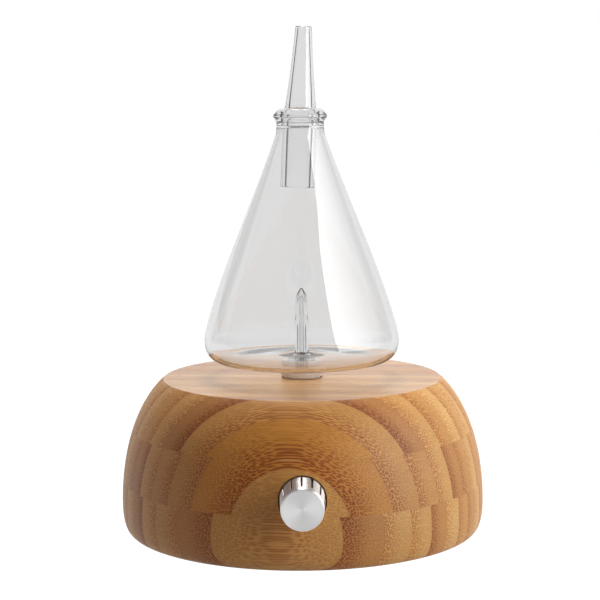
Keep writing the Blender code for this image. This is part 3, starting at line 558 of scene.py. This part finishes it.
def turned_mesh(name, outline, steps, closed, shape_at=None):
    """Turn an outline about Z. shape_at(angle, radius, height) may change the radius as it goes round."""
    mesh = bpy.data.meshes.new(name)
    shape = bmesh.new()
    points = rounded(outline, closed)
    rows = []
    for radius, height in points:
        if radius < 1e-6:
            rows.append([shape.verts.new((0.0, 0.0, height * MM))])
            continue
        row = []
        for step in range(steps):
            angle = FULL_TURN * step / steps
            here = shape_at(angle, radius, height) if shape_at else radius
            across = here * math.cos(angle) * MM
            away = here * math.sin(angle) * MM
            row.append(shape.verts.new((across, away, height * MM)))
        rows.append(row)
    pairs = list(zip(rows, rows[1:]))
    if closed:
        pairs.append((rows[-1], rows[0]))
    for upper, lower in pairs:
        for step in range(steps):
            after = (step + 1) % steps
            if len(upper) == 1:
                shape.faces.new((upper[0], lower[step], lower[after]))
            elif len(lower) == 1:
                shape.faces.new((upper[step], lower[0], upper[after]))
            else:
                shape.faces.new((upper[step], lower[step], lower[after], upper[after]))
    bmesh.ops.recalc_face_normals(shape, faces=shape.faces)
    shape.to_mesh(mesh)
    shape.free()
    mesh.shade_smooth()
    return mesh


def add_piece(name, mesh, look, place=AXIS, turn=(0.0, 0.0, 0.0)):
    """Add a mesh to the scene with its material."""
    piece = bpy.data.objects.new(name, mesh)
    bpy.context.scene.collection.objects.link(piece)
    mesh.materials.append(look)
    piece.location = place
    piece.rotation_euler = turn
    return piece


def settle(piece, body, slot, *nodes):
    """Bring a piece into the row frame, and say what it rides on and stands for."""
    bpy.context.view_layer.update()
    piece.data.transform(piece.matrix_world)
    piece.matrix_world = Matrix.Identity(4)
    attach(piece, body)
    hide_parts(*nodes)
    return piece


def carve(piece, cutter):
    """Cut a piece with a hidden shape, which is then removed."""
    cut = piece.modifiers.new("cut", "BOOLEAN")
    cut.operation = "DIFFERENCE"
    cut.solver = "EXACT"
    cut.object = cutter
    bpy.context.view_layer.update()
    evaluated = piece.evaluated_get(bpy.context.evaluated_depsgraph_get())
    mesh = bpy.data.meshes.new_from_object(evaluated)
    piece.modifiers.clear()
    piece.data = mesh
    bpy.data.objects.remove(cutter, do_unlink=True)


def crisp(piece, degrees):
    """Shade a piece smooth except at its sharp edges, and keep its flat faces flat."""
    piece.data.shade_smooth()
    piece.data.set_sharp_from_angle(angle=math.radians(degrees))
    weighted = piece.modifiers.new("flat_faces", "WEIGHTED_NORMAL")
    weighted.keep_sharp = True


def carve_knob_way(housing, look):
    """Cut the knob's pocket, the bushing's hole and the recess behind them."""
    outline = [
        (0.0, 12.0),
        (KNOB_POCKET_MOUTH, 12.0),
        (KNOB_POCKET_RADIUS, 5.2),
        (KNOB_POCKET_RADIUS, 0.0),
        (BUSHING_HOLE_RADIUS, 0.0),
        (BUSHING_HOLE_RADIUS, -POT_WALL),
        (POT_RECESS_RADIUS, -POT_WALL),
        (POT_RECESS_RADIUS, -KNOB_WAY_DEPTH),
        (0.0, -KNOB_WAY_DEPTH),
    ]
    floor = AXIS + Vector((0.0, -KNOB_POCKET_FLOOR * MM, KNOB_CENTRE.z - AXIS.z))
    mesh = turned_mesh("knob_way", outline, 96, False)
    carve(housing, add_piece("knob_way", mesh, look, floor, (QUARTER_TURN, 0.0, 0.0)))


def carve_jack_way(housing, look):
    """Cut the jack's seat, its hole and the recess behind them."""
    outline = [
        (0.0, 8.0),
        (JACK_SEAT_RADIUS, 8.0),
        (JACK_SEAT_RADIUS, 0.0),
        (JACK_HOLE_RADIUS, 0.0),
        (JACK_HOLE_RADIUS, -JACK_WALL),
        (JACK_RECESS_RADIUS, -JACK_WALL),
        (JACK_RECESS_RADIUS, -JACK_WAY_DEPTH),
        (0.0, -JACK_WAY_DEPTH),
    ]
    seat = AXIS + Vector((0.0, JACK_SEAT * MM, JACK_CENTRE.z - AXIS.z))
    mesh = turned_mesh("jack_way", outline, 64, False)
    carve(housing, add_piece("jack_way", mesh, look, seat, (-QUARTER_TURN, 0.0, 0.0)))


def make_housing(look):
    """Bamboo dome with its crisp flat top, knob pocket and jack seat."""
    widest = (BASE_RADIUS, BASE_WIDEST)
    dome = bezier((BASE_TOP_RADIUS, BASE_HEIGHT), (63.9, 44.7), (BASE_RADIUS, 25.2), widest, 28)
    skirt = bezier(widest, (BASE_RADIUS, 5.5), (66.9, 1.2), (65.2, 0.0), 10)
    outline = [
        (GLASS_HOLE_RADIUS, BASE_HEIGHT, 0.4),
        (BASE_TOP_RADIUS - 12.0, BASE_HEIGHT),
        (BASE_TOP_RADIUS - 0.3, BASE_HEIGHT),
        *dome[1:],
        *skirt[1:],
        (COVER_RECESS_RADIUS, 0.0, 0.4),
        (COVER_RECESS_RADIUS, COVER_RECESS_DEPTH),
        (CAVITY_RADIUS, COVER_RECESS_DEPTH),
        (CAVITY_RADIUS, CAVITY_TOP),
        (SOCKET_HOLE_RADIUS, CAVITY_TOP),
        (SOCKET_HOLE_RADIUS, SOCKET_HOLE_TOP),
        (GLASS_HOLE_RADIUS, SOCKET_HOLE_TOP),
    ]
    housing = add_piece("bamboo_base", turned_mesh("bamboo_base", outline, TURN_STEPS, True), look)
    carve_knob_way(housing, look)
    carve_jack_way(housing, look)
    crisp(housing, 24.0)
    return settle(housing, "base", "bamboo", "bamboo_housing")


def flute_depth(angle, height):
    """How far a flute cuts into the knob's side at an angle and height, in millimetres."""
    spacing = FULL_TURN / KNOB_FLUTES
    offset = (angle - QUARTER_TURN - FLUTE_TURN + spacing / 2) % spacing - spacing / 2
    if abs(offset) > FLUTE_HALF_WIDTH or not FLUTE_LOW < height < FLUTE_HIGH:
        return 0.0
    fade = min(1.0, (FLUTE_HIGH - height) / 2.0, (height - FLUTE_LOW) / 0.8)
    return FLUTE_DEPTH * fade * math.cos(offset / FLUTE_HALF_WIDTH * QUARTER_TURN) ** 0.5


def pointer_mesh():
    """Return the small rounded bar that cuts the pointer groove."""
    mesh = bpy.data.meshes.new("pointer_groove")
    shape = bmesh.new()
    spot = Matrix.Translation(Vector((0.0, -POINTER_DROP, KNOB_REACH)) * MM)
    bmesh.ops.create_cube(shape, size=1.0, matrix=spot @ Matrix.Diagonal((*POINTER_SIZE, 1.0)))
    bmesh.ops.bevel(shape, geom=shape.edges[:], offset=0.12 * MM, segments=2, affect="EDGES")
    shape.to_mesh(mesh)
    shape.free()
    return mesh


def make_knob(side_look, face_look, flute_shade_look):
    """Fluted knob with a spun face, a bright edge and a small pointer groove."""
    reach = KNOB_REACH
    outline = [
        (0.0, reach),
        (KNOB_FACE_RADIUS - 1.2, reach),
        (KNOB_FACE_RADIUS - 0.1, reach),
        (KNOB_FACE_RADIUS - 0.05, reach - 0.18),
        (KNOB_FACE_RADIUS + 0.08, reach - 0.18),
        (KNOB_FACE_RADIUS + 0.12, reach - 0.05),
        (KNOB_EDGE_RADIUS - 0.1, reach - 0.4),
    ]
    side = [(KNOB_EDGE_RADIUS, reach - 0.6)]
    rows = 22
    for index in range(1, rows):
        share = index / rows
        radius = KNOB_EDGE_RADIUS + (KNOB_RIM_RADIUS - KNOB_EDGE_RADIUS) * share
        side.append((radius, (reach - 0.6) * (1 - share) + KNOB_RIM_HEIGHT * share))
    back = [
        (KNOB_RIM_RADIUS, KNOB_RIM_HEIGHT),
        (KNOB_RIM_RADIUS, 0.3),
        (KNOB_RIM_RADIUS - 0.3, 0.0),
        (KNOB_HOLLOW_RADIUS, 0.0),
        (KNOB_HOLLOW_RADIUS, KNOB_HOLLOW_DEPTH),
        (KNOB_BORE_RADIUS, KNOB_HOLLOW_DEPTH),
        (KNOB_BORE_RADIUS, KNOB_BORE_DEPTH),
        (0.0, KNOB_BORE_DEPTH),
    ]

    def fluted(angle, radius, height):
        """Cut the flutes into the outside only."""
        return radius - flute_depth(angle, height) if radius > KNOB_EDGE_RADIUS - 0.05 else radius

    mesh = turned_mesh("spun_knob", [*outline, *side, *back], 26 * 16, False, fluted)
    knob = add_piece("spun_knob", mesh, side_look, KNOB_CENTRE, (QUARTER_TURN, 0.0, 0.0))
    groove = pointer_mesh()
    carve(knob, add_piece("pointer_groove", groove, side_look, KNOB_CENTRE, (QUARTER_TURN, 0.0, 0.0)))
    knob.data.materials.clear()
    for look in (side_look, face_look, flute_shade_look):
        knob.data.materials.append(look)
    # Faces deep in a flute take the dark flute look: painted shade in the grooves.
    for face in knob.data.polygons:
        across, up, height = face.center / MM
        outside = math.hypot(across, up) > KNOB_FACE_RADIUS
        in_flute = outside and flute_depth(math.atan2(up, across), height) > 0.12
        face.material_index = 1 if height > reach - 0.05 else 2 if in_flute else 0
    crisp(knob, 30.0)
    return settle(knob, "knob", "aluminium", "control_knob")


def rolled_lip():
    """Return the outline of the flask's lip, from inside the neck to under the roll."""
    curves = (
        ((NECK_BORE, 1.0), (NECK_BORE, 0.2), (6.8, 0.0), (7.2, 0.0), 8),
        ((7.2, 0.0), (8.0, 0.1), (8.8, 1.2), (9.4, 1.8), 8),
        ((9.4, 1.8), (10.1, 2.3), (10.1, 3.3), (9.5, 3.7), 12),
        ((9.5, 3.7), (9.1, 4.0), (8.8, 4.6), (8.75, 6.2), 8),
    )
    outline = []
    for *corners, pieces in curves:
        points = bezier(*[(radius, LIP_TOP - drop) for radius, drop in corners], pieces)
        outline += points[1:] if outline else points
    return outline


def make_flask(look):
    """Conical flask with a rolled lip, a rounded heel, a raised weld round the nozzle and a hollow stem."""
    outside = (FLASK_RADIUS, FLASK_WIDEST)
    cone = bezier((8.9, 146.5), (14.3, 129.1), (FLASK_RADIUS, 81.6), outside, 44)
    heel = bezier(outside, (FLASK_RADIUS, 64.6), (33.2, FLASK_BOTTOM), (28.0, FLASK_BOTTOM), 16)
    underside = bezier((28.0, FLASK_BOTTOM), (21.0, FLASK_BOTTOM), (15.0, 63.0), (8.0, 62.9), 16)
    stem = [
        (STEM_RADIUS, 62.4, 1.2),
        (STEM_RADIUS, STEM_END, 0.5),
        (STEM_BORE, STEM_END, 0.5),
        (STEM_BORE, 61.0, 0.8),
        (1.4, 61.0, 0.2),
        (1.4, 63.2, 0.2),
    ]
    weld = bezier((2.7, 64.8), (3.2, 64.3), (4.4, 63.9), (9.0, 63.9), 12)
    floor = bezier((9.0, 63.9), (14.0, 64.0), (20.0, FLASK_FLOOR), (27.6, FLASK_FLOOR), 16)
    inner = FLASK_RADIUS - FLASK_WALL
    inner_heel = bezier((27.6, FLASK_FLOOR), (32.6, FLASK_FLOOR), (inner, 65.4), (inner, 69.5), 20)
    inner_cone = bezier((inner, 69.5), (inner, 81.6), (12.9, 129.1), (7.8, 147.2), 44)
    collar = bezier((7.8, 147.2), (7.7, 148.8), (6.7, 148.4), (NECK_BORE, 149.4), 8)
    outline = [*rolled_lip(), *cone, *heel[1:], *underside[1:], *stem]
    outline += [*weld, *floor[1:], *inner_heel[1:], *inner_cone[1:], *collar[1:]]
    flask = add_piece("blown_flask", turned_mesh("blown_flask", outline, TURN_STEPS, True), look)
    return settle(flask, "flask", "glass", "glass_flask")


def make_nozzle(look):
    """Drawn glass jet and its pointed sleeve."""
    jet = [
        (0.25, JET_TIP, 0.1),
        (JET_BORE, JET_TIP, 0.2),
        *bezier((0.75, 85.2), (JET_RADIUS, 84.2), (JET_RADIUS, 83.6), (JET_RADIUS, 82.5), 8),
        (JET_RADIUS, JET_END, 0.2),
        (JET_BORE, JET_END, 0.2),
        *bezier((JET_BORE, 82.0), (0.5, 83.5), (0.3, 84.5), (0.25, 85.2), 6),
    ]
    jet_piece = add_piece("drawn_jet", turned_mesh("drawn_jet", jet, 48, True), look)
    settle(jet_piece, "flask", "glass", "air_jet")
    sleeve = [
        (0.2, 88.8, 0.05),
        *bezier((0.4, 88.9), (0.9, 87.9), (2.0, 86.6), (2.1, 84.6), 10),
        *bezier((2.2, 79.5), (2.2, 77.6), (SLEEVE_RADIUS, 77.4), (SLEEVE_RADIUS, 75.8), 8),
        (SLEEVE_RADIUS, SLEEVE_FOOT, 0.4),
        (SLEEVE_BORE, SLEEVE_FOOT, 0.2),
        *bezier((SLEEVE_BORE, 83.6), (SLEEVE_BORE, 85.4), (0.7, 86.8), (0.2, 88.3), 10),
    ]
    sleeve_piece = add_piece("drawn_sleeve", turned_mesh("drawn_sleeve", sleeve, 64, True), look)
    settle(sleeve_piece, "flask", "glass", "nozzle_sleeve")


def make_mist_tube(look):
    """Drawn glass outlet tube with fire-polished ends."""
    stack = bezier((3.0, 184.8), (3.6, 176.0), (4.5, 165.0), (5.75, 155.5), 36)
    seat = bezier((5.75, 155.5), (6.1, 153.0), (TUBE_RADIUS, 151.0), (TUBE_RADIUS, 148.0), 12)
    inside = bezier((TUBE_BORE, 150.0), (3.9, 160.0), (2.6, 174.0), (1.9, 184.8), 36)
    outline = [
        (2.1, TUBE_TOP),
        (2.8, TUBE_TOP),
        *stack,
        *seat[1:],
        (TUBE_RADIUS, TUBE_END, 0.6),
        (TUBE_BORE, TUBE_END, 0.6),
        *inside,
    ]
    from_seat = [(point[0], point[1] - TUBE_SEAT, *point[2:]) for point in outline]
    seat_place = AXIS + Vector((0.0, 0.0, TUBE_SEAT * MM))
    mesh = turned_mesh("drawn_mist_tube", from_seat, 128, True)
    tube = add_piece("drawn_mist_tube", mesh, look, seat_place, (0.0, TUBE_LEAN, 0.0))
    return settle(tube, "mist_outlet", "glass", "mist_tube")


def make_gasket(look):
    """Milky silicone ring that grips the flask's stem."""
    outline = [
        (GASKET_BORE, 60.2, 0.3),
        (7.0, 60.6, 0.4),
        (GASKET_RIM_RADIUS, 59.8, 0.5),
        (GASKET_RIM_RADIUS, GASKET_LEDGE, 0.3),
        (GASKET_RADIUS, GASKET_LEDGE, 0.1),
        (GASKET_RADIUS, GASKET_LOW, 0.3),
        (GASKET_BORE, GASKET_LOW, 0.3),
    ]
    gasket = add_piece("silicone_seat", turned_mesh("silicone_seat", outline, 96, True), look)
    return settle(gasket, "base", "silicone", "silicone_gasket")


def dress_frame(looks):
    """Give every CAD node its material, and keep its sharp edges sharp."""
    slots = {row["node"]: row["material_slot"] for row in frame["record"]["subparts"]}
    for name, node in frame["nodes"].items():
        look = looks[slots[name]]
        node.data.materials.clear()
        node.data.materials.append(look)
        node.data.set_sharp_from_angle(angle=math.radians(40.0))


def add_softbox(name, place, size, power, fade):
    """Add a rectangular light that faces the object. A fade dims it from its left side to its right."""
    light = bpy.data.lights.new(name, "AREA")
    light.shape = "RECTANGLE"
    light.size, light.size_y = size
    light.energy = power
    if fade:
        light.use_nodes = True
        tree = light.node_tree
        add = node_adder(tree)
        across = split(add, add("ShaderNodeNewGeometry").outputs["Parametric"])[0]
        tree.links.new(spread(add, across, 0.0, 1.0, *fade), tree.nodes["Emission"].inputs["Strength"])
    holder = bpy.data.objects.new(name, light)
    holder.location = place
    holder.rotation_euler = (Vector(LIGHTS_AIM) - Vector(place)).to_track_quat("-Z", "Y").to_euler()
    bpy.context.scene.collection.objects.link(holder)
    return holder


def add_screen(name, rows, look, seen_by):
    """Add a studio screen made of rows of points. Only the named kinds of ray see it."""
    mesh = bpy.data.meshes.new(name)
    shape = bmesh.new()
    corners = [[shape.verts.new(point) for point in row] for row in rows]
    for near, far in zip(corners, corners[1:]):
        for index in range(len(near) - 1):
            shape.faces.new((near[index], near[index + 1], far[index + 1], far[index]))
    shape.to_mesh(mesh)
    shape.free()
    mesh.shade_smooth()
    mesh.materials.append(look)
    screen = bpy.data.objects.new(name, mesh)
    bpy.context.scene.collection.objects.link(screen)
    screen.visible_camera = "camera" in seen_by
    screen.visible_glossy = "glossy" in seen_by
    screen.visible_transmission = "transmission" in seen_by
    screen.visible_diffuse = False
    screen.visible_shadow = False


def glowing_material(name, strength_of):
    """A screen that only glows. strength_of(add, side, depth, height) returns how brightly."""
    new, tree, shader, add = material(name)
    shader.inputs["Base Color"].default_value = (0.0, 0.0, 0.0, 1.0)
    shader.inputs["Specular IOR Level"].default_value = 0.0
    shader.inputs["Emission Color"].default_value = (1.0, 1.0, 1.0, 1.0)
    side, depth, height = split(add, object_place(add))
    tree.links.new(strength_of(add, side, depth, height), shader.inputs["Emission Strength"])
    return new


def sweep_glow(add, _side, _depth, height):
    """The sweep is a touch brighter at the floor."""
    return spread(add, height, 0.0, 0.1, 1.1, 1.0, "LINEAR")


def flag_glow(add, side, _depth, _height):
    """The flag darkens away from its inner edge."""
    return spread(add, side, -0.8, FLAG_INNER, 0.3, 1.0)


def tent_glow(add, side, depth, height):
    """The tent is white behind the glass and on the table, black in the wings and grey in front."""
    away = maths(add, "ABSOLUTE", maths(add, "ARCTAN2", side, depth))
    wall = spread(add, away, TENT_WHITE, TENT_DARK, TENT_GLOW, 0.08)
    front = spread(add, away, *TENT_FRONT, 0.0, TENT_FRONT_GLOW, "LINEAR")
    table = maths(add, "LESS_THAN", height, 2 * MM)
    return maths(add, "MAXIMUM", maths(add, "ADD", wall, front), maths(add, "MULTIPLY", table, TENT_GLOW))


def make_room():
    """Dim room: grey beside and behind the object, nearly black on the camera's side."""
    world = bpy.data.worlds.new("studio")
    world.use_nodes = True
    bpy.context.scene.world = world
    room = world.node_tree
    add = node_adder(room)
    depth = split(add, add("ShaderNodeTexCoord").outputs["Generated"])[1]
    brightness = spread(add, depth, -0.6, 0.1, ROOM_FRONT_LIGHT, ROOM_SIDE_LIGHT)
    room.links.new(brightness, room.nodes["Background"].inputs["Strength"])
    room.nodes["Background"].inputs["Color"].default_value = (1.0, 1.0, 1.0, 1.0)


def round_rows(profile):
    """Return the rows of a round wall from its (radius, height) points."""
    rows = []
    for step in range(TENT_STEPS + 1):
        angle = FULL_TURN * step / TENT_STEPS
        across, away = math.cos(angle), math.sin(angle)
        rows.append([(radius * across, radius * away, height) for radius, height in profile])
    return rows


def make_screens():
    """White sweep and horizon, a flag that dims reflections on the left, and a tent seen through glass."""
    white_paper = glowing_material("white_paper", sweep_glow)
    curve = [(-SWEEP_FRONT, 0.0)]
    for step in range(SWEEP_STEPS + 1):
        angle = QUARTER_TURN * step / SWEEP_STEPS
        curve.append((SWEEP_BEND + SWEEP_RADIUS * math.sin(angle), SWEEP_RADIUS * (1 - math.cos(angle))))
    curve.append((SWEEP_BEND + SWEEP_RADIUS, SWEEP_HEIGHT))
    rows = [[(side * SWEEP_HALF_WIDTH, depth, height) for side in (-1, 1)] for depth, height in curve]
    add_screen("sweep", rows, white_paper, ("camera", "glossy"))
    horizon = round_rows([(SWEEP_FRONT, 0.0), (SWEEP_FRONT, SWEEP_FRONT)])
    add_screen("horizon", horizon, white_paper, ("camera",))

    flag_depth = SWEEP_BEND + SWEEP_RADIUS - 0.1
    rows = [[(side, flag_depth, height) for side in (FLAG_OUTER, FLAG_INNER)] for height in (0.1, 1.9)]
    add_screen("flag", rows, glowing_material("grey_card", flag_glow), ("glossy",))
    tent = round_rows([(BASE_RADIUS * 1.1 * MM, MM), (TENT_RADIUS, MM), (TENT_RADIUS, SWEEP_HEIGHT)])
    add_screen("tent", tent, glowing_material("tent_cloth", tent_glow), ("transmission",))


def make_lights(glassware):
    """Graded softbox on the right, a light above and behind, a warm fill, and a strip for the glass alone."""
    lights = {name: add_softbox(name, *setting) for name, setting in SOFTBOXES.items()}
    for light in lights.values():
        light.visible_transmission = False
    lights["warm_fill"].data.color = (1.0, 0.55, 0.25)
    lights["warm_fill"].visible_glossy = False
    lights["glass_strip"].visible_diffuse = False
    lit = bpy.data.collections.new("glassware")
    for piece in glassware:
        lit.objects.link(piece)
    lights["glass_strip"].light_linking.receiver_collection = lit


def make_camera():
    """Camera a little above the glass, at the distance of a product shot."""
    camera = bpy.data.cameras.new("camera")
    camera.sensor_width = CAMERA_SENSOR
    camera.lens = CAMERA_LENS
    holder = bpy.data.objects.new("camera", camera)
    holder.location = AXIS + CAMERA_PLACE
    pan = Matrix.Rotation(CAMERA_PAN, 4, "Z")
    pitch = Matrix.Rotation(CAMERA_PITCH, 4, "X")
    roll = Matrix.Rotation(CAMERA_ROLL, 4, "Z")
    holder.rotation_euler = (pan @ pitch @ roll).to_euler()
    bpy.context.scene.collection.objects.link(holder)
    bpy.context.scene.camera = holder


LOOKS = {
    "bamboo": bamboo_material(),
    "black_plastic": moulded_material("black_plastic", (0.012, 0.012, 0.012), (0.03, 0.03, 0.03), 0.42),
    "white_plastic": moulded_material("white_plastic", (0.66, 0.65, 0.62), (0.78, 0.77, 0.74), 0.35),
    "rubber": moulded_material("rubber", (0.018, 0.018, 0.018), (0.04, 0.04, 0.04), 0.7, 2600.0),
    "steel": moulded_material("plated_steel", (0.5, 0.5, 0.5), (0.66, 0.66, 0.66), 0.22, 3000.0, 1.0, 0.01),
    "aluminium": aluminium_material("knob_side", 0.34, 0.9, colour(216, 215, 214), colour(236, 235, 234)),
    "brass": moulded_material("brass", (0.6, 0.43, 0.2), (0.78, 0.6, 0.3), 0.25, 3000.0, 1.0, 0.01),
    "board_green": moulded_material("board_green", (0.02, 0.16, 0.06), (0.04, 0.26, 0.1), 0.3, 900.0),
    "foam": moulded_material("foam", (0.05, 0.05, 0.055), (0.2, 0.2, 0.21), 0.85, 1400.0, 0.0, 0.3),
    "silicone": silicone_material(),
    "glass": glass_material(),
    "red_insulation": moulded_material("red_insulation", (0.42, 0.02, 0.015), (0.62, 0.04, 0.03), 0.35),
}

make_camera()
make_room()
make_screens()
dress_frame(LOOKS)
make_housing(LOOKS["bamboo"])
# Painted shade: the spun face is a darker copy of the side's aluminium, so it reads dimmer than the same
# metal would.
FACE_LOOK = aluminium_material("knob_face", 0.3, 0.7, colour(197, 197, 197), colour(216, 216, 215))
# Painted shade: the flutes get a dark copy of the aluminium, standing in for the shade deep in the grooves.
FLUTE_SHADE_LOOK = aluminium_material("knob_flutes", 0.4, 0.2, colour(40, 36, 34), colour(70, 64, 60))
make_knob(LOOKS["aluminium"], FACE_LOOK, FLUTE_SHADE_LOOK)
FLASK = make_flask(LOOKS["glass"])
make_nozzle(LOOKS["glass"])
TUBE = make_mist_tube(LOOKS["glass"])
make_gasket(LOOKS["silicone"])
make_lights([FLASK, TUBE])
bpy.context.scene.view_settings.view_transform = "Standard"
